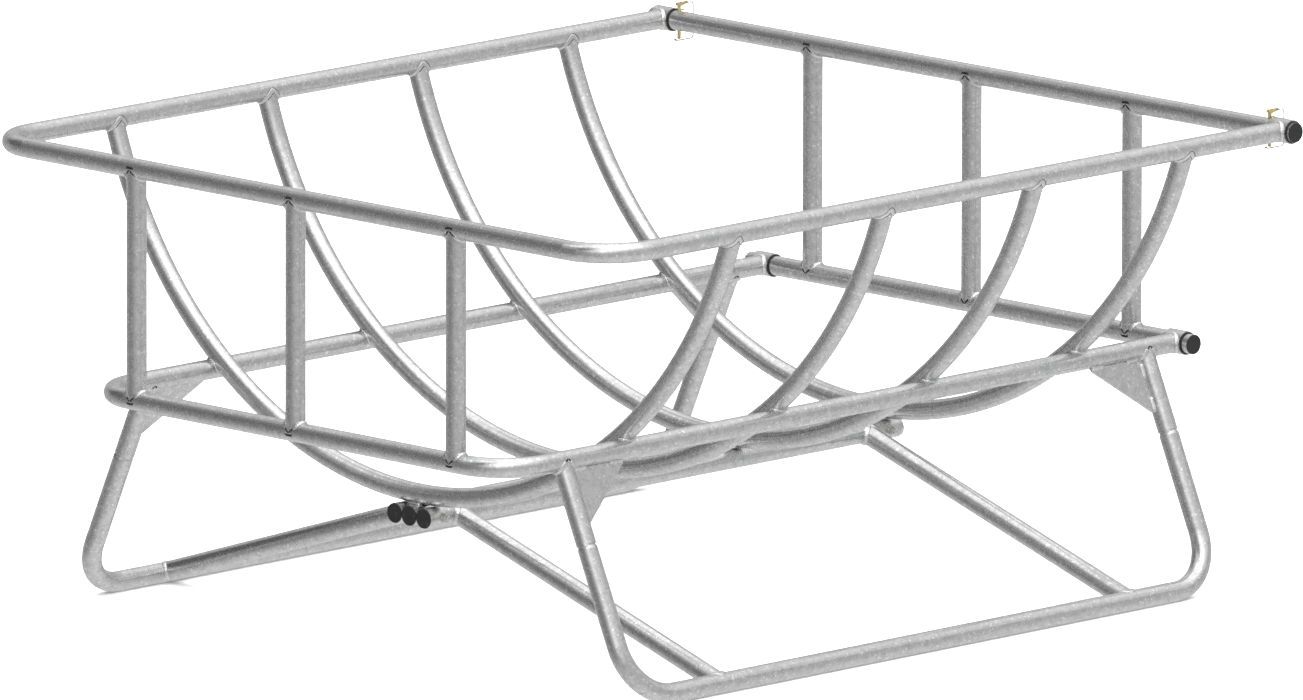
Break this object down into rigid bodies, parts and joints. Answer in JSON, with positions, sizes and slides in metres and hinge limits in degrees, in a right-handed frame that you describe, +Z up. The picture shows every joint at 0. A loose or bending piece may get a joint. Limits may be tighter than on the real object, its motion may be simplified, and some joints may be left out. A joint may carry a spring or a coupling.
{
  "type": "round bale feeder",
  "caption": "Galvanised tube cradle feeder for a large round bale: curved hoops in a rectangular rack on two bolted skids, with a pinned end gate.",
  "frame": {"origin": "on the ground, under the centre of the bounding box", "axes": "+X from the closed end to the gate end, +Y to the left, +Z up"},
  "size_m": [2.0498, 1.8794, 1.0188],
  "materials": {
    "galvanised_steel": "hot-dip galvanised, mottled, semi-matt",
    "black_plastic": "moulded, matt",
    "bolt_steel": "zinc plated",
    "pin_zinc": "yellow zinc plated",
    "spring_wire": "bright zinc plated"
  },
  "bodies": {
    "basket": {"top_rail": "galvanised_steel", "bottom_rail": "galvanised_steel", "sleeve_top_left": "galvanised_steel", "sleeve_top_right": "galvanised_steel", "sleeve_bottom_left": "galvanised_steel", "sleeve_bottom_right": "galvanised_steel", "liner_top_left": "black_plastic", "liner_top_right": "black_plastic", "liner_bottom_left": "black_plastic", "liner_bottom_right": "black_plastic", "end_picket_left": "galvanised_steel", "end_picket_middle": "galvanised_steel", "end_picket_right": "galvanised_steel", "hoop_1": "galvanised_steel", "hoop_2": "galvanised_steel", "hoop_3": "galvanised_steel", "hoop_4": "galvanised_steel", "spine_tube": "galvanised_steel", "leg_socket_rear_left": "galvanised_steel", "leg_socket_rear_right": "galvanised_steel", "leg_socket_front_left": "galvanised_steel", "leg_socket_front_right": "galvanised_steel", "gusset_rear_left": "galvanised_steel", "gusset_rear_right": "galvanised_steel", "gusset_front_left": "galvanised_steel", "gusset_front_right": "galvanised_steel", "skid_left": "galvanised_steel", "skid_right": "galvanised_steel", "brace_rear_left": "galvanised_steel", "brace_rear_right": "galvanised_steel", "brace_front_left": "galvanised_steel", "brace_front_right": "galvanised_steel", "side_tube_left": "galvanised_steel", "side_tube_right": "galvanised_steel", "bolt_rear": "bolt_steel", "bolt_front": "bolt_steel", "nut_rear": "bolt_steel", "nut_front": "bolt_steel", "spine_cap_rear_left": "black_plastic", "spine_cap_rear_middle": "black_plastic", "spine_cap_rear_right": "black_plastic", "spine_cap_front_left": "black_plastic", "spine_cap_front_middle": "black_plastic", "spine_cap_front_right": "black_plastic"},
    "gate": {"gate_top_bar": "galvanised_steel", "gate_bottom_bar": "galvanised_steel", "gate_picket_left": "galvanised_steel", "gate_picket_middle": "galvanised_steel", "gate_picket_right": "galvanised_steel", "gate_cap_top_left": "black_plastic", "gate_cap_top_right": "black_plastic", "gate_cap_bottom_left": "black_plastic", "gate_cap_bottom_right": "black_plastic"},
    "pin_left": {"lock_pin_left": "pin_zinc"},
    "bail_left": {"pin_bail_left": "spring_wire"},
    "pin_right": {"lock_pin_right": "pin_zinc"},
    "bail_right": {"pin_bail_right": "spring_wire"}
  },
  "joints": [
    {"name": "gate_slide", "type": "slide", "parent": "basket", "child": "gate", "axis": [0, 1, 0], "range_m": [-0.0075, 0.0075]},
    {"name": "pin_left_draw", "type": "slide", "parent": "gate", "child": "pin_left", "axis": [0, 0, 1], "range_m": [0, 0.066]},
    {"name": "bail_left_swing", "type": "hinge", "parent": "pin_left", "child": "bail_left", "pos_m": [1.00618, 0.8636, 1.0165], "axis": [0, -1, 0], "range_deg": [0, 100]},
    {"name": "pin_right_draw", "type": "slide", "parent": "gate", "child": "pin_right", "axis": [0, 0, 1], "range_m": [0, 0.066]},
    {"name": "bail_right_swing", "type": "hinge", "parent": "pin_right", "child": "bail_right", "pos_m": [1.00618, -0.8636, 1.0165], "axis": [0, -1, 0], "range_deg": [0, 100]}
  ],
  "couplings": [
    {"joint": "bail_left_swing", "follows": "pin_left_draw", "rad_per_m": 26.18},
    {"joint": "bail_right_swing", "follows": "pin_right_draw", "rad_per_m": 26.18}
  ]
}
